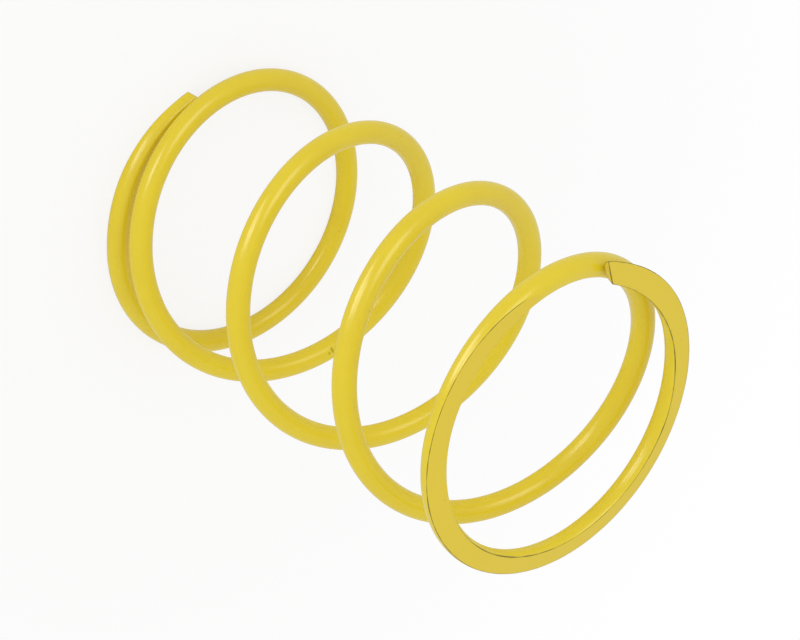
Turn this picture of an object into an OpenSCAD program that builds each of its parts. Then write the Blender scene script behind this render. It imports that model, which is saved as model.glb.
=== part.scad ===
// Helical compression spring of round wire, wound right-handed, with closed and ground ends.
// It stands on its lower end: Z runs up the coil's axis from the lower ground face, and the
// tip of the wire at the lower end lies on the X side.

/* [Wire] */
// Diameter of the round wire, with its coat of paint
wire_d = 4; // [3:0.1:5]

/* [Coil] */
// Mean diameter of the coil, through the middle of the wire
coil_d = 50.5; // [40:0.5:70]
// Turns of wire from tip to tip
turns = 4.9; // [3:0.01:5.9]
// Rise of one active turn
pitch = 28.3; // [16:0.1:36]

/* [Closed ends] */
// Share of the wire's diameter that grinding takes off the closed turns
ground_share = 0.18; // [0.1:0.01:0.3]
// How far a closed turn sinks back towards its ground plane, for a whole turn
closed_sink = 0.9; // [0:0.1:1.2]
// Gap between a tip and the turn that passes behind it
tip_gap = 0.3; // [0.2:0.1:1]
// Part of a turn over which a tip is bent out towards its ground plane
tip_turns = 0.2; // [0.12:0.01:0.3]
// Slant of the cut across the wire at a tip, in degrees
tip_slant = 35; // [0:1:38]

/* [Lower end] */
// Share of the wire's diameter that grinding leaves at the tip
lower_tip_share = 0.3; // [0.25:0.01:0.5]
// Part of a turn over which the wire bends from closed to the active pitch
lower_ramp_turns = 0.43; // [0.25:0.01:0.55]

/* [Upper end] */
// Share of the wire's diameter that grinding leaves at the tip
upper_tip_share = 0.35; // [0.25:0.01:0.5]
// Part of a turn over which the wire bends from closed to the active pitch
upper_ramp_turns = 0.35; // [0.25:0.01:0.55]
// How far the closed turn spreads past the coil's mean radius
upper_spread = 0.5; // [0:0.1:1]
// How far the tip is pulled in from the rest of the closed turn
upper_tip_in = 1.3; // [0:0.1:2]
// How far the wire is tucked in where it passes behind the tip
upper_tuck = 1; // [0:0.1:1.5]

/* [Resolution] */
// Sides of the wire's section
wire_sides = 20; // [16:2:24]
// Steps along the wire in one turn
steps_per_turn = 54; // [36:1:58]

/* [Hidden] */
paint_yellow = [0.86, 0.74, 0.1];
wire_r = wire_d / 2;
coil_r = coil_d / 2;
steps = ceil(turns * steps_per_turn);
// The spread end turn comes back to the coil's radius between these turns from its tip
spread_end = 0.7;
spread_fade = 0.4;
// The tuck reaches this many turns to each side of its middle
tuck_reach = 0.3;

// Smooth step from 0 to 1 as x goes from 0 to 1
function ease(x) = let (t = min(max(x, 0), 1)) t * t * (3 - 2 * t);

// Height gained s turns into a bend that takes the slope evenly from 0 to 1 over a ramp
function bend(s, ramp) = s < 0 ? 0 : s < ramp ? s * s / (2 * ramp) : s - ramp / 2;

// Turns into that bend at which the height h is reached
function bend_at(h, ramp) = h < ramp / 2 ? sqrt(2 * ramp * max(h, 0)) : h + ramp / 2;

// Distance that a tip is bent out, from the two depths that grinding reaches
function tip_lift(share) = (1 - ground_share - share) * wire_d + closed_sink * tip_turns;

// Turns wound closed, so that one whole turn from the tip the wire has just cleared the tip
function closed_turns(share, ramp) =
    1 - bend_at((wire_d + tip_gap + closed_sink - tip_lift(share)) / (pitch + closed_sink), ramp);

// Height of the wire's middle over its own end's ground plane, u turns from that end's tip
function rise(u, share, ramp) =
    share * wire_d - wire_r
    + tip_lift(share) * ease(u / tip_turns)
    - closed_sink * u
    + (pitch + closed_sink) * bend(u - closed_turns(share, ramp), ramp);

function lower_rise(u) = rise(u, lower_tip_share, lower_ramp_turns);
function upper_rise(u) = rise(u, upper_tip_share, upper_ramp_turns);

// The two ends meet half way up, where both climb at the active pitch
free_length = lower_rise(turns / 2) + upper_rise(turns / 2);

// Height of the wire's middle, u turns from the lower tip
function height(u) = u < turns / 2 ? lower_rise(u) : free_length - upper_rise(turns - u);

// Radius of the wire's middle, v turns from the upper tip
function radius(v) =
    coil_r
    + upper_spread * (1 - ease((v - spread_end) / spread_fade))
    - upper_tip_in * (1 - ease(v / tip_turns))
    - upper_tuck * ease(1 - abs(v - 1) / tuck_reach);

function outward(u) = [cos(360 * u), sin(360 * u), 0];
function middle(u) = radius(turns - u) * outward(u) + [0, 0, height(u)];

// Direction of the wire, from two points close by
function heading(u) =
    let (near = 1e-3, step = middle(u + near) - middle(u - near))
    step / norm(step);

// Half the angle that a ground plane at this distance cuts out of the section; an uncut
// section keeps one side of its polygon facing the plane
function cut_angle(distance, lean) =
    max(180 / wire_sides, acos(min(max(distance / (wire_r * lean), -1), 1)));

// One ring of the wire's section, square to the wire and flat at the ground planes; slant
// shifts its outer side on along the wire and its inner side back
function ring(u, slant = 0) =
    let (
        out = outward(u),
        across = cross(out, heading(u)),
        side = across / norm(across),
        low = cut_angle(height(u), side[2]) - 90,
        high = 90 - cut_angle(free_length - height(u), side[2]),
        half = wire_sides / 2,
        lengthwise = outward(u + 0.25) * tan(slant)
    )
    [for (k = [0 : wire_sides - 1])
        let (
            step = k < half ? k : wire_sides - 1 - k,
            a = low + (high - low) * step / (half - 1),
            reach = (k < half ? 1 : -1) * cos(a)
        )
        middle(u) + wire_r * (reach * (out + lengthwise) + sin(a) * side)];

module spring() {
    rings = [for (i = [0 : steps])
        ring(turns * i / steps, i == 0 || i == steps ? tip_slant : 0)];
    skin = [for (i = [0 : steps - 1], k = [0 : wire_sides - 1])
        let (a = i * wire_sides + k, b = i * wire_sides + (k + 1) % wire_sides)
        each [[a, b, b + wire_sides], [a, b + wire_sides, a + wire_sides]]];
    lower_tip = [for (k = [wire_sides - 1 : -1 : 0]) k];
    upper_tip = [for (k = [0 : wire_sides - 1]) steps * wire_sides + k];
    color(paint_yellow)
        polyhedron([for (r = rings) each r], concat([lower_tip], skin, [upper_tip]));
}

spring();
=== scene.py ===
"""Painted torque spring with closed, ground ends, standing on its lower end.

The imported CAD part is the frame. One fine surface, the wire swept along the coil, stands for its node.
"""

import logging
import math
from dataclasses import dataclass, field
from enum import Enum

import bpy
import numpy as np
from mathutils import Matrix, Vector


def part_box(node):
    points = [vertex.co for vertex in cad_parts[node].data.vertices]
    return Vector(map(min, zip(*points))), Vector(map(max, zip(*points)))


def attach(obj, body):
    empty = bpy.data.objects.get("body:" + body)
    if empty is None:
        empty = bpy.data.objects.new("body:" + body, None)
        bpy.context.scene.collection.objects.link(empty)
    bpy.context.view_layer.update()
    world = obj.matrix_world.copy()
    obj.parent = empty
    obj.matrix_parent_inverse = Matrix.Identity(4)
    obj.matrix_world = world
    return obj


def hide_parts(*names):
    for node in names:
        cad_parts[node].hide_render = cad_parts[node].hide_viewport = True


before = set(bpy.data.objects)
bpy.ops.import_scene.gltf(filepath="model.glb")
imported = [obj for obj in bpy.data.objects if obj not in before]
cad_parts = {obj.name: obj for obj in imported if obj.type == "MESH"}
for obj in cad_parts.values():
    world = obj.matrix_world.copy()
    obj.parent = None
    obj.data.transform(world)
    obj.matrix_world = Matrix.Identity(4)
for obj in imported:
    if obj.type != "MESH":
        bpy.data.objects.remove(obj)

LOG = logging.getLogger("torque_spring")
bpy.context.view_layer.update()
MM = 0.001
TINY = 1e-9
# Distance to an edge at which the paint takes no more notice of it
FAR = 1.0 * MM
NODE = "spring"
BODY = "root"
UV_NAME = "wire_uv"

Array = np.ndarray
Colour = tuple[float, float, float]
Span = tuple[float, float]
Steps = tuple[float, ...]


class End(Enum):
    """The two ends of the wire."""

    LOWER = "lower"
    UPPER = "upper"


class Mark(Enum):
    """Mesh attributes that the paint reads."""

    GROUND = "ground_face"
    EDGE = "edge_distance"
    CHIP = "paint_chip"


def ease(x: Array) -> Array:
    """Smooth step: three times the square less twice the cube of x, held between 0 and 1."""
    t = np.clip(x, 0.0, 1.0)
    return t * t * (3.0 - 2.0 * t)


def crowded(count: int, pull: float) -> Array:
    """Steps from 0 to 1 that crowd towards both ends.

    The formula is t less pull times one full sine wave of t, divided by two pi.

    Args:
        count: Number of steps, both ends included.
        pull: 0 for even steps, near 1 for steps that close up at the ends.

    Returns:
        The steps as one array.
    """
    t = np.linspace(0.0, 1.0, count)
    return t - pull * np.sin(2.0 * np.pi * t) / (2.0 * np.pi)


@dataclass(frozen=True)
class GroundEnd:
    """How the wire is bent and ground at one end of the coil, with lengths in metres.

    Attributes:
        tip_share: Share of the wire's diameter that grinding leaves at the tip.
        ramp_turns: Part of a turn in which the wire bends to the active pitch.
        spread: How far the closed turn spreads past the mean radius.
        tip_in: How far the tip is pulled in from the rest of the closed turn.
        tuck: How far the wire is tucked in where it passes behind the tip.
        face_lean: Angle by which the ground face leans outwards.
        face_lift: How far the middle of the leaning face is lifted.
        tip_press: How far the tip is pressed towards the next turn.
        bead: Thickness of the bead of paint between the tip and the next turn.
    """

    tip_share: float
    ramp_turns: float
    spread: float = 0.0
    tip_in: float = 0.0
    tuck: float = 0.0
    face_lean: float = 0.0
    face_lift: float = 0.0
    tip_press: float = 0.0
    bead: float = 0.0


@dataclass(frozen=True)
class CoilPath:
    """Middle line of the wire, in turns counted from the lower tip, with lengths in metres.

    Attributes:
        length: Free length, from ground plane to ground plane.
        wire_d: Diameter of the wire.
        coil_d: Mean diameter of the coil.
        turns: Turns of wire from tip to tip.
        pitch: Rise of one active turn.
        ground_share: Share of the wire's diameter that grinding takes off the closed turns.
        closed_sink: How far a closed turn sinks back towards its ground plane in a whole turn.
        tip_gap: Gap between a tip and the turn that passes behind it, before the tip is pressed.
        tip_turns: Part of a turn in which a tip is bent out.
        tip_slant: Slant of the cut across the wire at a tip.
        spread_end: Turns from the tip at which a spread starts to fade.
        spread_fade: Turns in which it fades.
        tuck_reach: Turns to each side over which the wire is tucked in.
        lean_from: Turns from the tip at which a ground face starts to lean.
        lean_to: Turns from the tip at which it stands square again.
        lean_fade: Turns in which the lean comes and goes.
        press_turns: Part of a turn in which a pressed tip comes back.
        lower: The lower end.
        upper: The upper end.
    """

    length: float
    wire_d: float = 4.0 * MM
    coil_d: float = 50.5 * MM
    turns: float = 4.9
    pitch: float = 28.3 * MM
    ground_share: float = 0.18
    closed_sink: float = 0.9 * MM
    tip_gap: float = 0.3 * MM
    tip_turns: float = 0.2
    tip_slant: float = math.radians(35.0)
    spread_end: float = 0.7
    spread_fade: float = 0.4
    tuck_reach: float = 0.3
    lean_from: float = 0.17
    lean_to: float = 0.75
    lean_fade: float = 0.1
    press_turns: float = 0.12
    lower: GroundEnd = GroundEnd(tip_share=0.30, ramp_turns=0.43, tip_press=0.2 * MM, bead=0.3 * MM)
    upper: GroundEnd = GroundEnd(
        tip_share=0.35, ramp_turns=0.35, spread=0.5 * MM, tip_in=1.3 * MM, tuck=1.0 * MM,
        face_lean=math.radians(11.0), face_lift=0.09 * MM,
    )

    @property
    def wire_r(self) -> float:
        """Radius of the wire."""
        return self.wire_d / 2.0

    @property
    def per_turn(self) -> float:
        """Length of one turn round the mean coil, with its rise left out."""
        return math.pi * self.coil_d

    def ground_end(self, end: End) -> GroundEnd:
        """The bending and grinding of one end."""
        return self.lower if end is End.LOWER else self.upper

    def from_tip(self, u: Array, end: End) -> Array:
        """Turns counted from that end's own tip."""
        return u if end is End.LOWER else self.turns - u

    def rise(self, v: Array, end: End) -> Array:
        """Height of the wire's middle over one end's ground plane.

        The tip starts at its ground thickness less the wire's radius, is eased up by the tip's lift, sinks
        evenly along the closed turn, and then bends on a parabola into a straight climb at the active pitch.
        The bend starts where it makes the wire clear its own tip after one whole turn. A tip that is pressed
        against that turn is eased towards it.

        Args:
            v: Turns from that end's tip.
            end: Which end.

        Returns:
            Heights in metres, in the shape of v.
        """
        how = self.ground_end(end)
        ramp = how.ramp_turns
        climb = self.pitch + self.closed_sink
        lift = (1.0 - self.ground_share - how.tip_share) * self.wire_d + self.closed_sink * self.tip_turns
        need = (self.wire_d + self.tip_gap + self.closed_sink - lift) / climb
        reach = math.sqrt(2.0 * ramp * max(need, 0.0)) if need < ramp / 2.0 else need + ramp / 2.0
        s = np.maximum(v - (1.0 - reach), 0.0)
        bend = np.where(s < ramp, s * s / (2.0 * ramp), s - ramp / 2.0)
        start = how.tip_share * self.wire_d - self.wire_r
        press = how.tip_press * (1.0 - ease(v / self.press_turns))
        return start + lift * ease(v / self.tip_turns) - self.closed_sink * v + climb * bend + press

    def height(self, u: Array) -> Array:
        """Height of the wire's middle: the lower end's rise, then the length less the upper end's.

        Args:
            u: Turns from the lower tip.

        Returns:
            Heights in metres.
        """
        low = self.rise(u, End.LOWER)
        high = self.length - self.rise(self.turns - u, End.UPPER)
        return np.where(u < self.turns / 2.0, low, high)

    def radius(self, u: Array) -> Array:
        """Radius of the wire's middle.

        The mean radius, plus each end's spread, less the pull of its tip and the tuck one turn from the tip.

        Args:
            u: Turns from the lower tip.

        Returns:
            Radii in metres.
        """
        r = np.full_like(u, self.coil_d / 2.0)
        for end in End:
            how, v = self.ground_end(end), self.from_tip(u, end)
            r += how.spread * (1.0 - ease((v - self.spread_end) / self.spread_fade))
            r -= how.tip_in * (1.0 - ease(v / self.tip_turns))
            r -= how.tuck * ease(1.0 - np.abs(v - 1.0) / self.tuck_reach)
        return r

    def leaning(self, u: Array, end: End) -> Array:
        """Share from 0 to 1 by which a ground face leans outwards, eased in and out along its turn."""
        v = self.from_tip(u, end)
        return ease((v - self.lean_from) / self.lean_fade) * ease((self.lean_to - v) / self.lean_fade)

    def outward(self, u: Array) -> Array:
        """Unit vectors from the axis to the wire."""
        a = 2.0 * np.pi * u
        return np.stack([np.cos(a), np.sin(a), np.zeros_like(a)], axis=-1)

    def middle(self, u: Array) -> Array:
        """Points of the wire's middle: radius times outward, lifted to the height.

        Args:
            u: Turns from the lower tip.

        Returns:
            One point for each turn.
        """
        line = self.radius(u)[:, None] * self.outward(u)
        line[:, 2] = self.height(u)
        return line

    def heading(self, u: Array) -> Array:
        """Unit vectors along the wire, from two points close to each station.

        Args:
            u: Turns from the lower tip.

        Returns:
            One vector for each turn.
        """
        near = 1e-4
        step = self.middle(u + near) - self.middle(u - near)
        return step / np.linalg.norm(step, axis=1)[:, None]


@dataclass(frozen=True)
class Chip:
    """A small nick in the paint, placed by turns along the wire and degrees round it, sizes in metres."""

    turn: float
    round_deg: float
    half_length: float
    half_width: float
    depth: float


@dataclass
class WireSurface:
    """The wire's skin: a section that is round where it is free and flat where it is ground.

    Attributes:
        path: Middle line of the wire.
        chips: Nicks in the paint.
        steps_per_turn: Even sections in one turn.
        tip_steps: Places of the closer sections at each tip, in millimetres.
        even_from: Length at each tip that the even sections leave out.
        chip_reach: Reach of the closer sections at a chip, in its half lengths.
        chip_steps: Number of those sections.
        arc_points: Points on each arc of a section.
        arc_pull: How far they crowd towards the ground edges.
        chord_points: Points on each chord of a section.
        chord_pull: How far they crowd towards the ground edges.
        edge_round: Rounding of the ground edges.
        edge_share: The most that it takes of half the flat's width.
        tip_round: Rounding of the cut at each tip.
        slant_reach: Length over which the sections turn to the slant of the cut.
        cap_shares: Sizes of the smaller sections that close a cut.
        least_cut: Half angle of a chord where nothing is ground.
        flat_fade: Half angle over which a chord becomes a ground face.
        line_from: Half angle at which the dark edge line starts.
        line_fade: Half angle over which it gets its full width.
        inner_thin: Factor on the distance to the edge on the inner half of a flat.
        inner_line_at: Turns from the upper tip at which the inner rim's line width is given.
        inner_line_widths: Relative width of the dark edge line there.
        outer_line_at: Turns from the upper tip at which the outer rim's line width is given.
        outer_line_widths: Relative width of the dark edge line there.
        lower_line_width: Relative width of the dark edge line at the lower end.
        bead_turns: Length of the bead of paint by the lower tip, in turns.
        bead_angle: Its place round the wire.
        bead_half: Its half width round the wire.
    """

    path: CoilPath
    chips: tuple[Chip, ...] = ()
    steps_per_turn: int = 230
    tip_steps: Steps = (0.0, 0.02, 0.05, 0.09, 0.14, 0.22, 0.34, 0.5, 0.75, 1.1)
    even_from: float = 1.6 * MM
    chip_reach: float = 2.4
    chip_steps: int = 17
    arc_points: int = 25
    arc_pull: float = 0.85
    chord_points: int = 6
    chord_pull: float = 0.6
    edge_round: float = 0.2 * MM
    edge_share: float = 0.25
    tip_round: float = 0.14 * MM
    slant_reach: float = 5.0 * MM
    cap_shares: Steps = (0.9, 0.55)
    least_cut: float = math.radians(1.5)
    flat_fade: float = math.radians(10.0)
    line_from: float = math.radians(12.0)
    line_fade: float = math.radians(24.0)
    inner_thin: float = 2.5
    inner_line_at: Steps = (0.0, 0.26, 0.32, 0.44, 0.49, 0.57, 0.64)
    inner_line_widths: Steps = (1.7, 1.7, 0.7, 0.8, 1.7, 1.6, 0.2)
    outer_line_at: Steps = (0.0, 0.03, 0.70, 0.78, 0.845, 0.87)
    outer_line_widths: Steps = (1.5, 1.0, 0.9, 0.75, 0.75, 0.5)
    lower_line_width: float = 0.7
    bead_turns: float = 0.25
    bead_angle: float = math.radians(70.0)
    bead_half: float = math.radians(20.0)

    def stations(self) -> Array:
        """Turns of every section: even along the wire, and close together at each tip and chip.

        Returns:
            The turns in rising order.
        """
        p = self.path
        close = np.array(self.tip_steps) * MM / p.per_turn
        first = self.even_from / p.per_turn
        even = np.linspace(first, p.turns - first, round(self.steps_per_turn * p.turns))
        spread = np.linspace(-self.chip_reach, self.chip_reach, self.chip_steps)
        fine = [c.turn + spread * c.half_length / p.per_turn for c in self.chips]
        return np.sort(np.concatenate([close, even, p.turns - close, *fine]))

    def cut_angles(self, u: Array, side: Array, end: End) -> Array:
        """Half the angle that one ground plane cuts out of each section: the arc cosine of its distance.

        Where the face leans, its middle is lifted a little.

        Args:
            u: Turns of every section.
            side: Unit vectors up each section.
            end: Which end's plane.

        Returns:
            Half angles in radians, never under the least cut.
        """
        p = self.path
        gap = p.height(u) if end is End.LOWER else p.length - p.height(u)
        gap = gap + p.ground_end(end).face_lift * p.leaning(u, end)
        return np.maximum(np.arccos(np.clip(gap / (p.wire_r * side[:, 2]), -1.0, 1.0)), self.least_cut)

    def sections(self, low: Array, high: Array, lean: Array) -> dict[str, Array]:
        """Every section in its own plane, with x outwards and y up.

        Each is a right arc, an upper chord, a left arc and a lower chord. The upper chord is turned outwards
        by its lean, so the right arc is shorter by it and the left arc longer. Where a chord is cut by
        grinding, its two edges are eased by a parabola of the distance to the edge. The distance that
        the paint reads counts more on the inner half of the flat, where the dark line painted along the edge
        is thinner, and it grows past the line's width where the flat runs out.

        Args:
            low: Half angles cut at the lower plane.
            high: Half angles cut at the upper plane.
            lean: Angles that the upper chord is turned by.

        Returns:
            Arrays of x and y, the distance to the nearest ground edge and the share of ground face.
        """
        r = self.path.wire_r
        m, n = self.arc_points, self.chord_points
        s = crowded(m, self.arc_pull)[None, :]
        t = crowded(n + 2, self.chord_pull)[None, 1:-1]
        right = (low[:, None] - np.pi / 2.0) + (np.pi - low - high - lean)[:, None] * s
        left = (low[:, None] - np.pi / 2.0) + (np.pi - low - high + lean)[:, None] * s
        along_top = r * np.sin(high)[:, None] * (1.0 - 2.0 * t)
        along_base = r * np.sin(low)[:, None] * (2.0 * t - 1.0)
        over_top = r * np.cos(high)[:, None]
        turn_cos, turn_sin = np.cos(lean)[:, None], np.sin(lean)[:, None]
        top_x = along_top * turn_cos + over_top * turn_sin
        top_y = over_top * turn_cos - along_top * turn_sin
        base_y = np.repeat((-r * np.cos(low))[:, None], n, axis=1)
        x = np.concatenate([r * np.cos(right), top_x, -r * np.cos(left)[:, ::-1], along_base], axis=1)
        y = np.concatenate([r * np.sin(right), top_y, r * np.sin(left)[:, ::-1], base_y], axis=1)
        edge = np.full_like(x, FAR)
        ground = np.zeros_like(x)
        chords = {End.UPPER: np.s_[:, m:m + n], End.LOWER: np.s_[:, -n:]}
        square = np.zeros_like(lean)
        ends = ((End.UPPER, high, 1.0, lean, along_top), (End.LOWER, low, -1.0, square, along_base))
        for end, cut, sign, turned, along in ends:
            there = np.clip((cut[:, None] - self.least_cut) / self.flat_fade, 0.0, 1.0)
            half_flat = r * np.sin(cut)[:, None]
            rim = np.pi / 2.0 - cut[:, None]
            from_right = r * np.abs(rim - turned[:, None] - sign * right)
            from_left = r * np.abs(rim + turned[:, None] - sign * left)
            blank = np.full_like(along, FAR)
            d = np.concatenate([from_right, blank, from_left[:, ::-1], blank], axis=1)
            d[chords[end]] = np.where(along > 0.0, 1.0, self.inner_thin) * (half_flat - np.abs(along))
            soft = np.minimum(self.edge_round, self.edge_share * half_flat * there) + TINY
            h = np.maximum(soft - d, 0.0)
            y = y - sign * h * h / (4.0 * soft)
            crisp = np.clip((cut[:, None] - self.line_from) / self.line_fade, 0.0, 1.0)
            edge = np.minimum(edge, d + FAR * (1.0 - crisp) ** 3)
            ground[chords[end]] = there
        return {"x": x, "y": y, "edge": edge, "ground": ground}

    def eased_tips(self, x: Array, y: Array, tip: Array) -> tuple[Array, Array]:
        """Shrinks the sections close to a cut, on a quarter circle of the distance to it.

        Args:
            x: Places outwards in every section.
            y: Places up in every section.
            tip: Distance of every section from the nearer cut.

        Returns:
            The new x and y.
        """
        cx, cy = x.mean(axis=1, keepdims=True), y.mean(axis=1, keepdims=True)
        spare = np.maximum(self.tip_round - tip, 0.0)
        inset = self.tip_round - np.sqrt(self.tip_round**2 - spare**2)
        away = np.hypot(x - cx, y - cy)
        keep = 1.0 - inset[:, None] / np.maximum(away, TINY)
        return cx + (x - cx) * keep, cy + (y - cy) * keep

    def nicks(self, u: Array, angle: Array) -> tuple[Array, Array]:
        """Chips in the paint: bell curves of the distances along the wire and round it.

        Args:
            u: Turns of every section.
            angle: Angles of the points round the wire.

        Returns:
            The share of chipped paint, and the share of the wire's size that the chips leave.
        """
        p = self.path
        chip, size = np.zeros_like(angle), np.ones_like(angle)
        for c in self.chips:
            turned = np.angle(np.exp(1j * (angle - math.radians(c.round_deg)))) * p.wire_r
            along = (u[:, None] - c.turn) * p.per_turn
            spot = np.exp(-((along / c.half_length) ** 2) - (turned / c.half_width) ** 2)
            chip = np.maximum(chip, spot)
            size = size * (1.0 - spot * c.depth / p.wire_r)
        return chip, size

    def swell(self, u: Array, angle: Array) -> Array:
        """Bead of paint by the lower tip: a bell curve round the wire, eased out along it.

        Args:
            u: Turns of every section.
            angle: Angles of the points round the wire.

        Returns:
            Sizes against the plain wire.
        """
        beside = ease(1.0 - u / self.bead_turns) * self.path.lower.bead / self.path.wire_r
        return 1.0 + beside[:, None] * np.exp(-(((angle - self.bead_angle) / self.bead_half) ** 2))

    def edge_line_widths(self, u: Array, x: Array) -> Array:
        """Relative width of the dark line painted along the edges, for thin paint and painted shade at the
        edge: straight steps along the upper turn on each rim, even below.

        Args:
            u: Turns of every section.
            x: Places across the wire, below zero on its inner side.

        Returns:
            Widths in the shape of x.
        """
        v = self.path.from_tip(u, End.UPPER)[:, None]
        inner = np.interp(v, self.inner_line_at, self.inner_line_widths)
        outer = np.interp(v, self.outer_line_at, self.outer_line_widths)
        upper = np.where(x < 0.0, inner, outer)
        return np.where(v < self.path.turns / 2.0, upper, self.lower_line_width)

    def rows(self) -> dict[str, Array]:
        """Every row of the grid, in the part's frame.

        A section's point is the wire's middle plus x outwards and y to the side, shifted along the wire in
        step with x towards the slanted cut at a tip.

        Returns:
            Arrays of points, attributes and the two middle points.
        """
        p = self.path
        u = self.stations()
        out = p.outward(u)
        across = np.cross(out, p.heading(u))
        side = across / np.linalg.norm(across, axis=1)[:, None]
        low, high = (self.cut_angles(u, side, end) for end in End)
        flat = self.sections(low, high, p.upper.face_lean * p.leaning(u, End.UPPER))
        lower_tip, upper_tip = (p.from_tip(u, end) * p.per_turn for end in End)
        tip = np.minimum(lower_tip, upper_tip)
        x, y = self.eased_tips(flat["x"], flat["y"], tip)
        angle = np.arctan2(y, x)
        chip, size = self.nicks(u, angle)
        size = size * self.swell(u, angle)
        x, y = x * size, y * size
        nearness = ease(1.0 - upper_tip / self.slant_reach) + ease(1.0 - lower_tip / self.slant_reach)
        lengthwise = p.outward(u + 0.25) * (math.tan(p.tip_slant) * nearness)[:, None]
        points = (
            p.middle(u)[:, None, :]
            + x[..., None] * (out + lengthwise)[:, None, :]
            + y[..., None] * side[:, None, :]
        )
        # Distance to the edge, scaled by the width of the dark edge line, which is thin paint with painted
        # shade.
        edge = np.minimum(flat["edge"], tip[:, None]) / self.edge_line_widths(u, x)
        return self.closed(u, points, edge, flat["ground"], chip)

    def closed(self, u: Array, points: Array, edge: Array, ground: Array, chip: Array) -> dict[str, Array]:
        """Closes the two cuts with smaller copies of the last section and a point in its middle.

        Args:
            u: Turns of every section.
            points: Grid of points.
            edge: Distance to the nearest ground or cut edge.
            ground: Share of ground face.
            chip: Share of chipped paint.

        Returns:
            The longer grid, its attributes and the middle point of each cut.
        """
        first, last = points[0].mean(axis=0), points[-1].mean(axis=0)
        shares = self.cap_shares
        lower = [first + (points[0] - first) * k for k in shares[::-1]]
        upper = [last + (points[-1] - last) * k for k in shares]
        blank = np.zeros((len(shares), points.shape[1]))
        inner = blank + np.array([(1.0 - k) * self.path.wire_r for k in shares])[:, None]
        return {
            "u": np.concatenate([np.full(len(shares), u[0]), u, np.full(len(shares), u[-1])]),
            "points": np.concatenate([np.stack(lower), points, np.stack(upper)]),
            "edge": np.concatenate([inner[::-1], edge, inner]),
            "ground": np.concatenate([blank + 1.0, ground, blank + 1.0]),
            "chip": np.concatenate([blank, chip, blank]),
            "poles": np.stack([first, last]),
        }

    def faces(self, rows: int, columns: int) -> tuple[Array, Array]:
        """Corner indices of the grid's quads, closed round the wire, and of the poles' triangles.

        Args:
            rows: Rows of the grid.
            columns: Points in a row.

        Returns:
            The quads and the triangles.
        """
        i, k = np.meshgrid(np.arange(rows - 1), np.arange(columns), indexing="ij")
        a = (i * columns + k).ravel()
        b = (i * columns + (k + 1) % columns).ravel()
        quads = np.stack([a, a + columns, b + columns, b], axis=1)
        c = np.arange(columns)
        d = (c + 1) % columns
        end = (rows - 1) * columns
        pole = rows * columns
        low = np.stack([np.full(columns, pole), c, d], axis=1)
        high = np.stack([np.full(columns, pole + 1), end + d, end + c], axis=1)
        return quads, np.concatenate([low, high])

    def build(self, name: str) -> bpy.types.Object:
        """Puts the grid into a mesh, with its attributes.

        Args:
            name: Name of the piece.

        Returns:
            The new object, at the origin.
        """
        grid = self.rows()
        rows, columns = grid["points"].shape[:2]
        points = np.concatenate([grid["points"].reshape(-1, 3), grid["poles"]])
        quads, fans = self.faces(rows, columns)
        mesh = bpy.data.meshes.new(name)
        mesh.vertices.add(len(points))
        mesh.vertices.foreach_set("co", points.astype(np.float32).ravel())
        corners = np.concatenate([quads.ravel(), fans.ravel()]).astype(np.int32)
        sizes = np.concatenate([np.full(len(quads), 4), np.full(len(fans), 3)])
        starts = np.concatenate([[0], np.cumsum(sizes)[:-1]]).astype(np.int32)
        mesh.loops.add(len(corners))
        mesh.loops.foreach_set("vertex_index", corners)
        mesh.polygons.add(len(sizes))
        mesh.polygons.foreach_set("loop_start", starts)
        mesh.polygons.foreach_set("use_smooth", np.ones(len(sizes), bool))
        mesh.update(calc_edges=True)
        mesh.validate()
        marks = ((Mark.GROUND, "ground", 1.0), (Mark.EDGE, "edge", FAR), (Mark.CHIP, "chip", 0.0))
        for mark, key, pole in marks:
            scale = 1.0 / MM if mark is Mark.EDGE else 1.0
            values = np.concatenate([grid[key].ravel(), [pole, pole]]) * scale
            layer = mesh.attributes.new(mark.value, "FLOAT", "POINT")
            layer.data.foreach_set("value", values.astype(np.float32))
        self.lay_uv(mesh, grid["u"], rows, columns, len(fans))
        piece = bpy.data.objects.new(name, mesh)
        bpy.context.scene.collection.objects.link(piece)
        return piece

    def lay_uv(self, mesh: bpy.types.Mesh, u: Array, rows: int, columns: int, fans: int) -> None:
        """Lays a UV map with metres along the wire and metres round it.

        Args:
            mesh: The wire's mesh.
            u: Turns of every row.
            rows: Rows of the grid.
            columns: Points in a row.
            fans: Number of triangles at the poles.
        """
        along = u * self.path.per_turn
        turned = np.arange(columns + 1) / columns * math.pi * self.path.wire_d
        i, k = np.meshgrid(np.arange(rows - 1), np.arange(columns), indexing="ij")
        i, k = i.ravel(), k.ravel()
        us = np.stack([along[i], along[i + 1], along[i + 1], along[i]], axis=1)
        vs = np.stack([turned[k], turned[k], turned[k + 1], turned[k + 1]], axis=1)
        caps = np.zeros((fans * 3, 2))
        layer = mesh.uv_layers.new(name=UV_NAME)
        both = np.concatenate([np.stack([us.ravel(), vs.ravel()], axis=1), caps])
        layer.data.foreach_set("uv", both.astype(np.float32).ravel())


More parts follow.
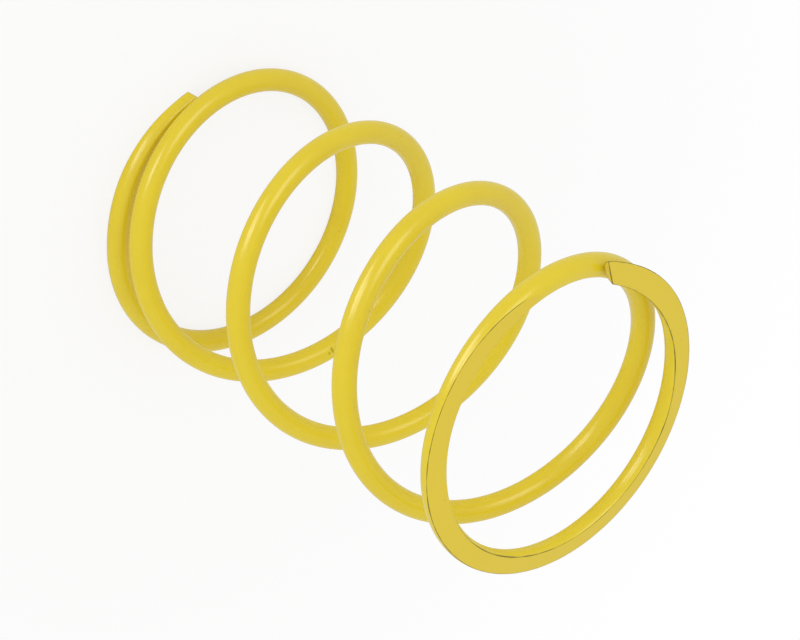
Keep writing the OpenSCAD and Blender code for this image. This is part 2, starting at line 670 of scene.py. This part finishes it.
class Graph:
    """Small helper that adds nodes to a node tree and joins them."""

    def __init__(self, tree: bpy.types.NodeTree) -> None:
        """Keeps the tree and empties it."""
        self.tree = tree
        tree.nodes.clear()

    def add(self, kind: str, **values: object) -> bpy.types.Node:
        """Adds one node.

        Args:
            kind: Blender's name of the node's type.
            **values: Properties of the node.

        Returns:
            The new node.
        """
        node = self.tree.nodes.new(kind)
        for key, value in values.items():
            setattr(node, key, value)
        return node

    def feed(self, socket: bpy.types.NodeSocket, value: object) -> None:
        """Joins another node's output to a socket, or sets the socket to a plain value.

        Args:
            socket: The input to feed.
            value: An output or a plain value.
        """
        if isinstance(value, bpy.types.NodeSocket):
            self.tree.links.new(value, socket)
        else:
            socket.default_value = value

    def math(self, how: str, a: object, b: object) -> bpy.types.NodeSocket:
        """Works out one Math node.

        Args:
            how: Blender's name of the operation.
            a: First value or output.
            b: Second value or output.

        Returns:
            The node's output.
        """
        node = self.add("ShaderNodeMath", operation=how)
        self.feed(node.inputs[0], a)
        self.feed(node.inputs[1], b)
        return node.outputs[0]

    def span(self, value: object, low: object, high: object, to: Span = (0.0, 1.0)) -> bpy.types.NodeSocket:
        """Smoothly maps a value from one span to another.

        Args:
            value: Value or output to map.
            low: Start of its span.
            high: End of its span.
            to: The span that it is mapped to.

        Returns:
            The mapped output.
        """
        node = self.add("ShaderNodeMapRange", interpolation_type="SMOOTHSTEP")
        for socket, given in zip(node.inputs, (value, low, high, *to)):
            self.feed(socket, given)
        return node.outputs[0]

    def blend(self, share: object, a: object, b: object) -> bpy.types.NodeSocket:
        """Mixes two colours by a share.

        Args:
            share: Share of the second colour.
            a: First colour or output.
            b: Second colour or output.

        Returns:
            The mixed colour.
        """
        node = self.add("ShaderNodeMix", data_type="RGBA")
        self.feed(node.inputs[0], share)
        for socket, given in zip(node.inputs[6:8], (a, b)):
            self.feed(socket, (*given, 1.0) if isinstance(given, tuple) else given)
        return node.outputs[2]

    def noise(
        self, where: object, scale: float, detail: float = 2.0, rough: float = 0.5
    ) -> bpy.types.NodeSocket:
        """Value of a noise texture.

        Args:
            where: Output that gives the place.
            scale: Waves in a metre.
            detail: Number of finer layers.
            rough: Weight of the finer layers.

        Returns:
            The noise, about 0.5 on average.
        """
        node = self.add("ShaderNodeTexNoise")
        self.feed(node.inputs["Vector"], where)
        node.inputs["Scale"].default_value = scale
        node.inputs["Detail"].default_value = detail
        node.inputs["Roughness"].default_value = rough
        return node.outputs["Fac"]

    def mark(self, which: Mark) -> bpy.types.NodeSocket:
        """Value of one of the wire's mesh attributes."""
        return self.add("ShaderNodeAttribute", attribute_name=which.value).outputs["Fac"]


@dataclass(frozen=True)
class GlossPaint:
    """Gloss yellow paint over steel wire, with a dark line along the ground edges that stands for thin paint
    there and for painted shade in the groove at the edge.

    Attributes:
        name: Name of the material.
        body: Colour of the paint.
        deep: Colour where the coat is thicker.
        ground: Colour on the ground faces.
        thin_paint_and_shade: Colour of the dark line along an edge: thin paint, with painted shade of the
            groove at the edge.
        speck: Colour of the specks.
        nick: Colour in a chip.
        gloss: Roughness of the paint.
        ground_gloss: Roughness on the ground faces.
        peel: Strength of the bump.
        bump_depth: Height of the bump in metres.
        drawn_scale: Waves of the wire's drawn lines, in a metre along and round it.
        cloud_scale: Waves of the coat's clouds in a metre.
        fine_scale: Waves of the coat's fine unevenness in a metre.
        patch_scale: Waves of the bare line's patches in a metre.
        dot_scale: Waves of the specks in a metre.
        spread_scale: Waves of the areas with specks in a metre.
        cloud_span: Noise between body and deep colour.
        width_span: Noise between the thin and the wide dark edge line.
        strength_span: Noise between the faint and the strong dark edge line.
        dot_span: Noise at the rim of a speck.
        spread_span: Noise at the rim of an area with specks.
        nick_span: Share of chip at the rim of a nick.
        line_core: Distance in millimetres up to which the dark edge line is full.
        line_width: Distances in millimetres at which the paint covers again.
        line_strength: Shares of the dark edge line's colour.
        speck_share: Share of the speck colour.
        cloud_rough: Roughness that the clouds add or take.
        edge_line_rough: Roughness that the dark edge line adds.
        fine_bump: Share of the fine unevenness in the bump.
        drawn_bump: Share of the drawn lines in the bump.
        specular: Level of the gloss.
    """

    name: str = "gloss_yellow_paint"
    body: Colour = (0.760, 0.594, 0.017)
    deep: Colour = (0.740, 0.563, 0.015)
    ground: Colour = (0.742, 0.558, 0.025)
    thin_paint_and_shade: Colour = (0.11, 0.085, 0.012)
    speck: Colour = (0.30, 0.20, 0.03)
    nick: Colour = (0.44, 0.355, 0.012)
    gloss: float = 0.235
    ground_gloss: float = 0.5
    peel: float = 0.02
    bump_depth: float = 0.1 * MM
    drawn_scale: tuple[float, float, float] = (120.0, 900.0, 1.0)
    cloud_scale: float = 90.0
    fine_scale: float = 900.0
    patch_scale: float = 260.0
    dot_scale: float = 1500.0
    spread_scale: float = 150.0
    cloud_span: Span = (0.3, 0.75)
    width_span: Span = (0.35, 0.7)
    strength_span: Span = (0.3, 0.6)
    dot_span: Span = (0.74, 0.8)
    spread_span: Span = (0.56, 0.66)
    nick_span: Span = (0.25, 0.8)
    line_core: float = 0.03
    line_width: Span = (0.10, 0.19)
    line_strength: Span = (0.55, 0.95)
    speck_share: float = 0.5
    cloud_rough: float = 0.08
    edge_line_rough: float = 0.2
    fine_bump: float = 0.6
    drawn_bump: float = 0.8
    specular: float = 0.5

    def material(self) -> bpy.types.Material:
        """Builds the paint's material.

        Returns:
            A material whose colour, roughness and bump vary over the wire.
        """
        paint = bpy.data.materials.new(self.name)
        paint.use_nodes = True
        g = Graph(paint.node_tree)
        place = g.add("ShaderNodeTexCoord").outputs["Object"]
        cloud = g.noise(place, self.cloud_scale, detail=3.0)
        ground_face = g.mark(Mark.GROUND)
        # Mask of the dark edge line: thin paint, and painted shade of the groove at the edge.
        thin_paint_and_shade = self.thin_paint_and_shade_line(g, place)
        skin = g.add("ShaderNodeBsdfPrincipled")
        g.feed(skin.inputs["Base Color"], self.colour(g, place, cloud, ground_face, thin_paint_and_shade))
        sheen = g.blend(ground_face, (self.gloss,) * 3, (self.ground_gloss,) * 3)
        uneven = g.math("MULTIPLY", g.math("SUBTRACT", cloud, 0.5), self.cloud_rough)
        dull = g.math("MULTIPLY", thin_paint_and_shade, self.edge_line_rough)
        g.feed(skin.inputs["Roughness"], g.math("ADD", g.math("ADD", sheen, uneven), dull))
        g.feed(skin.inputs["Normal"], self.bump(g, place))
        skin.inputs["Specular IOR Level"].default_value = self.specular
        out = g.add("ShaderNodeOutputMaterial")
        g.feed(out.inputs["Surface"], skin.outputs["BSDF"])
        return paint

    def thin_paint_and_shade_line(self, g: Graph, place: bpy.types.NodeSocket) -> bpy.types.NodeSocket:
        """Mask of the dark line along the ground and cut edges, thin paint with painted shade of the edge's
        groove, patchy in width and strength.

        Args:
            g: The material's graph.
            place: Place on the wire.

        Returns:
            Share of the dark edge line's colour.
        """
        patchy = g.noise(place, self.patch_scale, detail=3.0, rough=0.6)
        width = g.span(patchy, *self.width_span, self.line_width)
        thin_paint_and_shade_mask = g.math("SUBTRACT", 1.0, g.span(g.mark(Mark.EDGE), self.line_core, width))
        return g.math("MULTIPLY", thin_paint_and_shade_mask, g.span(patchy, *self.strength_span, self.line_strength))

    def colour(
        self,
        g: Graph,
        place: bpy.types.NodeSocket,
        cloud: bpy.types.NodeSocket,
        ground_face: bpy.types.NodeSocket,
        thin_paint_and_shade: bpy.types.NodeSocket,
    ) -> bpy.types.NodeSocket:
        """Colour of the paint: clouds, ground faces, specks, the dark edge line of thin paint and painted
        shade, and the nicks, in that order.

        Args:
            g: The material's graph.
            place: Place on the wire.
            cloud: Noise of the coat's clouds.
            ground_face: Share of ground face.
            thin_paint_and_shade: Share of the dark edge line's colour.

        Returns:
            The colour.
        """
        tone = g.blend(g.span(cloud, *self.cloud_span), self.body, self.deep)
        flat = g.blend(ground_face, tone, self.ground)
        dotted = g.span(g.noise(place, self.dot_scale, detail=1.0), *self.dot_span)
        sparse = g.span(g.noise(place, self.spread_scale, detail=1.0), *self.spread_span)
        specks = g.math("MULTIPLY", g.math("MULTIPLY", dotted, sparse), self.speck_share)
        specked = g.blend(specks, flat, self.speck)
        # Dark line along the edges: thin paint, and painted shade of the groove at the edge.
        lined = g.blend(thin_paint_and_shade, specked, self.thin_paint_and_shade)
        return g.blend(g.span(g.mark(Mark.CHIP), *self.nick_span), lined, self.nick)

    def bump(self, g: Graph, place: bpy.types.NodeSocket) -> bpy.types.NodeSocket:
        """Normal of the coat: fine unevenness, and lines along the drawn wire.

        Args:
            g: The material's graph.
            place: Place on the wire.

        Returns:
            The bumped normal.
        """
        drawn = g.add("ShaderNodeMapping")
        g.feed(drawn.inputs["Vector"], g.add("ShaderNodeUVMap", uv_map=UV_NAME).outputs["UV"])
        drawn.inputs["Scale"].default_value = self.drawn_scale
        lines = g.math("MULTIPLY", g.noise(drawn.outputs["Vector"], scale=1.0), self.drawn_bump)
        fine = g.math("MULTIPLY", g.noise(place, self.fine_scale), self.fine_bump)
        bump = g.add("ShaderNodeBump")
        bump.inputs["Strength"].default_value = self.peel
        bump.inputs["Distance"].default_value = self.bump_depth
        g.feed(bump.inputs["Height"], g.math("ADD", fine, lines))
        return bump.outputs["Normal"]


@dataclass
class Spring:
    """The whole spring: one wire surface in its paint."""

    path: CoilPath
    finish: GlossPaint = field(default_factory=GlossPaint)
    chips: tuple[Chip, ...] = (
        Chip(turn=1.5086, round_deg=114.0, half_length=0.28 * MM, half_width=0.75 * MM, depth=0.05 * MM),
        Chip(turn=1.5040, round_deg=104.0, half_length=0.24 * MM, half_width=0.34 * MM, depth=0.03 * MM),
    )

    def build(self) -> bpy.types.Object:
        """Builds the wire, dresses it and lets it stand for the CAD node.

        Returns:
            The dressed wire.
        """
        piece = WireSurface(self.path, chips=self.chips).build("coiled_wire")
        piece.data.materials.append(self.finish.material())
        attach(piece, BODY)
        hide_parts(NODE)
        return piece


class Stand(Enum):
    """How a lamp is held."""

    FACING = "facing the spring"
    FLAT = "flat on the floor"


@dataclass(frozen=True)
class Lamp:
    """An oval soft box or light panel, placed by its direction from the spring, with sizes in metres.

    Attributes:
        name: Name of the lamp.
        azimuth_deg: Direction from +X.
        elevation_deg: Angle over the level of the target.
        distance: Distance from the target.
        brightness: How bright it looks, with white paper at 1.
        width: Width of the oval.
        height: Height of the oval.
        stand: How it is held.
        gloss_only: Whether only the gloss shows it.
    """

    name: str
    azimuth_deg: float
    elevation_deg: float
    distance: float
    brightness: float
    width: float
    height: float
    stand: Stand = Stand.FACING
    gloss_only: bool = False

    def hang(self, target: Vector) -> None:
        """Hangs the lamp.

        Its power is its brightness times pi times its area, so at a brightness of 1 it looks as bright as
        white paper. A lamp that lies flat shines up, with its height along the floor towards the spring.

        Args:
            target: The point that it is placed from.
        """
        back = direction(self.azimuth_deg, self.elevation_deg)
        data = bpy.data.lights.new(self.name, "AREA")
        data.shape = "ELLIPSE"
        data.size, data.size_y = self.width, self.height
        area = math.pi / 4.0 * self.width * self.height
        data.energy = self.brightness * math.pi * area
        lamp = bpy.data.objects.new(self.name, data)
        lamp.location = target + back * self.distance
        lamp.visible_diffuse = not self.gloss_only
        if self.stand is Stand.FACING:
            lamp.rotation_euler = back.to_track_quat("Z", "Y").to_euler()
        else:
            lamp.rotation_euler = (math.pi, 0.0, math.radians(self.azimuth_deg) - math.pi / 2.0)
        bpy.context.scene.collection.objects.link(lamp)


def direction(azimuth_deg: float, elevation_deg: float) -> Vector:
    """Unit vector towards an azimuth from +X and an elevation over the floor."""
    a, e = math.radians(azimuth_deg), math.radians(elevation_deg)
    return Vector((math.cos(e) * math.cos(a), math.cos(e) * math.sin(a), math.sin(e)))


@dataclass(frozen=True)
class Studio:
    """Round white floor, white surroundings, soft boxes and a light panel on the floor.

    Attributes:
        floor_radius: Radius of the floor in metres.
        floor_rings: Rings of faces in the floor.
        floor_sides: Sides of the floor.
        floor_colour: Colour of the floor in the light.
        glow_near: Share of plain white in the floor close to the spring.
        fade_from: Distance in metres at which that share starts to grow.
        fade_to: Distance at which the floor is as white as the background.
        fill: Strength of the surroundings as light.
        in_gloss: Strength of the white background in the gloss of the paint.
        lamps: The soft boxes and the panel.
    """

    floor_radius: float = 1.0
    floor_rings: int = 8
    floor_sides: int = 72
    floor_colour: Colour = (0.85, 0.85, 0.85)
    glow_near: float = 0.80
    fade_from: float = 0.06
    fade_to: float = 0.20
    fill: float = 0.97
    in_gloss: float = 0.7
    lamps: tuple[Lamp, ...] = (
        Lamp(
            "low_soft_box", azimuth_deg=28.9, elevation_deg=7.5, distance=0.80,
            brightness=3.6, width=0.32, height=0.28,
        ),
        Lamp(
            "low_gloss_box", azimuth_deg=28.9, elevation_deg=7.5, distance=0.81,
            brightness=1.7, width=0.324, height=0.2835, gloss_only=True,
        ),
        Lamp(
            "floor_panel", azimuth_deg=28.9, elevation_deg=-6.6, distance=0.372,
            brightness=5.0, width=0.18, height=0.48, stand=Stand.FLAT, gloss_only=True,
        ),
        Lamp(
            "high_soft_box", azimuth_deg=333.9, elevation_deg=47.0, distance=1.30,
            brightness=2.7, width=0.72, height=0.72, gloss_only=True,
        ),
    )

    def floor(self) -> bpy.types.Object:
        """Lays the round floor that the spring stands on.

        It is a flat polar grid: radius times cosine and sine of the angle, at a height of zero.

        Returns:
            The floor.
        """
        radii = np.linspace(0.0, self.floor_radius, self.floor_rings + 1)[1:]
        turn = np.linspace(0.0, 2.0 * np.pi, self.floor_sides, endpoint=False)
        rim = np.stack([np.cos(turn), np.sin(turn), np.zeros_like(turn)], axis=-1)
        points = np.concatenate([np.zeros((1, 3)), (radii[:, None, None] * rim).reshape(-1, 3)])
        n = self.floor_sides
        k = np.arange(n)
        after = (k + 1) % n
        middle = np.stack([np.zeros(n, int), 1 + k, 1 + after], axis=1).tolist()
        ring = (1 + n * np.arange(len(radii) - 1))[:, None]
        quads = np.stack([ring + k, ring + n + k, ring + n + after, ring + after], axis=-1)
        mesh = bpy.data.meshes.new("white_floor")
        mesh.from_pydata(points.tolist(), [], middle + quads.reshape(-1, 4).tolist())
        mesh.materials.append(self.floor_material())
        floor = bpy.data.objects.new("white_floor", mesh)
        bpy.context.scene.collection.objects.link(floor)
        return floor

    def seen(self, g: Graph) -> bpy.types.NodeSocket:
        """Mask of the rays that see the white background: camera, gloss and glass.

        Args:
            g: The graph that needs it.

        Returns:
            1 for those rays and 0 for the rest.
        """
        rays = g.add("ShaderNodeLightPath")
        straight = g.math("MAXIMUM", rays.outputs["Is Camera Ray"], rays.outputs["Is Glossy Ray"])
        return g.math("MAXIMUM", straight, rays.outputs["Is Transmission Ray"])

    def white(self, g: Graph) -> bpy.types.NodeSocket:
        """Strength of the white background: full, and a little dimmer in the gloss of the paint."""
        gloss = g.add("ShaderNodeLightPath").outputs["Is Glossy Ray"]
        return g.span(gloss, 0.0, 1.0, (1.0, self.in_gloss))

    def floor_material(self) -> bpy.types.Material:
        """Floor: plain and pale in the light, and towards its rim as white as the background.

        Returns:
            The floor's material.
        """
        paint = bpy.data.materials.new("white_floor")
        paint.use_nodes = True
        g = Graph(paint.node_tree)
        matt = g.add("ShaderNodeBsdfDiffuse")
        matt.inputs["Color"].default_value = (*self.floor_colour, 1.0)
        glow = g.add("ShaderNodeEmission")
        g.feed(glow.inputs["Strength"], self.white(g))
        away = g.add("ShaderNodeVectorMath", operation="LENGTH")
        g.feed(away.inputs[0], g.add("ShaderNodeTexCoord").outputs["Object"])
        share = g.span(away.outputs["Value"], self.fade_from, self.fade_to, (self.glow_near, 1.0))
        mix = g.add("ShaderNodeMixShader")
        g.feed(mix.inputs[0], g.math("MULTIPLY", self.seen(g), share))
        g.feed(mix.inputs[1], matt.outputs[0])
        g.feed(mix.inputs[2], glow.outputs[0])
        out = g.add("ShaderNodeOutputMaterial")
        g.feed(out.inputs["Surface"], mix.outputs[0])
        return paint

    def surroundings(self) -> None:
        """White world: full white where it is seen, and a lower, even fill as light."""
        world = bpy.data.worlds.new("white_room")
        world.use_nodes = True
        g = Graph(world.node_tree)
        back = g.add("ShaderNodeBackground")
        back.inputs["Color"].default_value = (1.0, 1.0, 1.0, 1.0)
        lit = g.add("ShaderNodeMix", data_type="FLOAT")
        g.feed(lit.inputs[0], self.seen(g))
        g.feed(lit.inputs[2], self.fill)
        g.feed(lit.inputs[3], self.white(g))
        g.feed(back.inputs["Strength"], lit.outputs[0])
        out = g.add("ShaderNodeOutputWorld")
        g.feed(out.inputs["Surface"], back.outputs[0])
        bpy.context.scene.world = world

    def build(self, target: Vector) -> bpy.types.Object:
        """Sets up floor, surroundings and lamps round a target point.

        Args:
            target: Middle of the spring.

        Returns:
            The floor.
        """
        self.surroundings()
        for lamp in self.lamps:
            lamp.hang(target)
        bpy.context.scene.view_settings.view_transform = "Standard"
        return self.floor()


@dataclass(frozen=True)
class PhotoCamera:
    """Camera at the photograph's viewing angle, rolled as the spring lies in the picture.

    Attributes:
        azimuth_deg: Direction of the camera from +X.
        elevation_deg: Angle of the camera over the floor.
        roll_deg: Turn about the line of sight.
        distance: Distance from the target in metres.
        aside_right: Move to the picture's right in metres.
        aside_up: Move up in the picture in metres.
        lens_mm: Focal length.
        sensor_mm: Width of the sensor.
        clip_start: Nearest distance that is drawn, in metres.
    """

    azimuth_deg: float = 31.406
    elevation_deg: float = 41.978
    roll_deg: float = -122.22
    distance: float = 436.02 * MM
    aside_right: float = 2.18 * MM
    aside_up: float = -2.29 * MM
    lens_mm: float = 117.0
    sensor_mm: float = 36.0
    clip_start: float = 10.0 * MM

    def build(self, target: Vector) -> bpy.types.Object:
        """Sets the camera.

        It stands at the azimuth and elevation, is turned about its line of sight by the roll, and is then
        moved aside in its own plane so that the spring sits in the picture as photographed.

        Args:
            target: Middle of the spring.

        Returns:
            The camera.
        """
        back = direction(self.azimuth_deg, self.elevation_deg)
        level = Vector((0.0, 0.0, 1.0)).cross(back).normalized()
        over = back.cross(level)
        roll = math.radians(self.roll_deg)
        right = level * math.cos(roll) - over * math.sin(roll)
        up = over * math.cos(roll) + level * math.sin(roll)
        place = target + back * self.distance + right * self.aside_right + up * self.aside_up
        data = bpy.data.cameras.new("photo_camera")
        data.sensor_fit = "HORIZONTAL"
        data.sensor_width = self.sensor_mm
        data.lens = self.lens_mm
        data.clip_start = self.clip_start
        camera = bpy.data.objects.new("photo_camera", data)
        turn = Matrix((right, up, back)).transposed().to_4x4()
        camera.matrix_world = Matrix.Translation(place) @ turn
        bpy.context.scene.collection.objects.link(camera)
        bpy.context.scene.camera = camera
        return camera


def main() -> None:
    """Builds the camera, the spring and the studio, and logs each piece."""
    logging.basicConfig(level=logging.INFO, format="%(name)s: %(message)s")
    low, high = (Vector(corner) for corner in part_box(NODE))
    target = Vector((0.0, 0.0, (low.z + high.z) / 2.0))
    camera = PhotoCamera().build(target)
    LOG.info("camera at %s", tuple(round(v, 4) for v in camera.matrix_world.translation))
    spring = Spring(CoilPath(length=high.z - low.z)).build()
    LOG.info("%s: %d faces", spring.name, len(spring.data.polygons))
    floor = Studio().build(target)
    LOG.info("%s laid", floor.name)


if __name__ == "__main__":
    main()
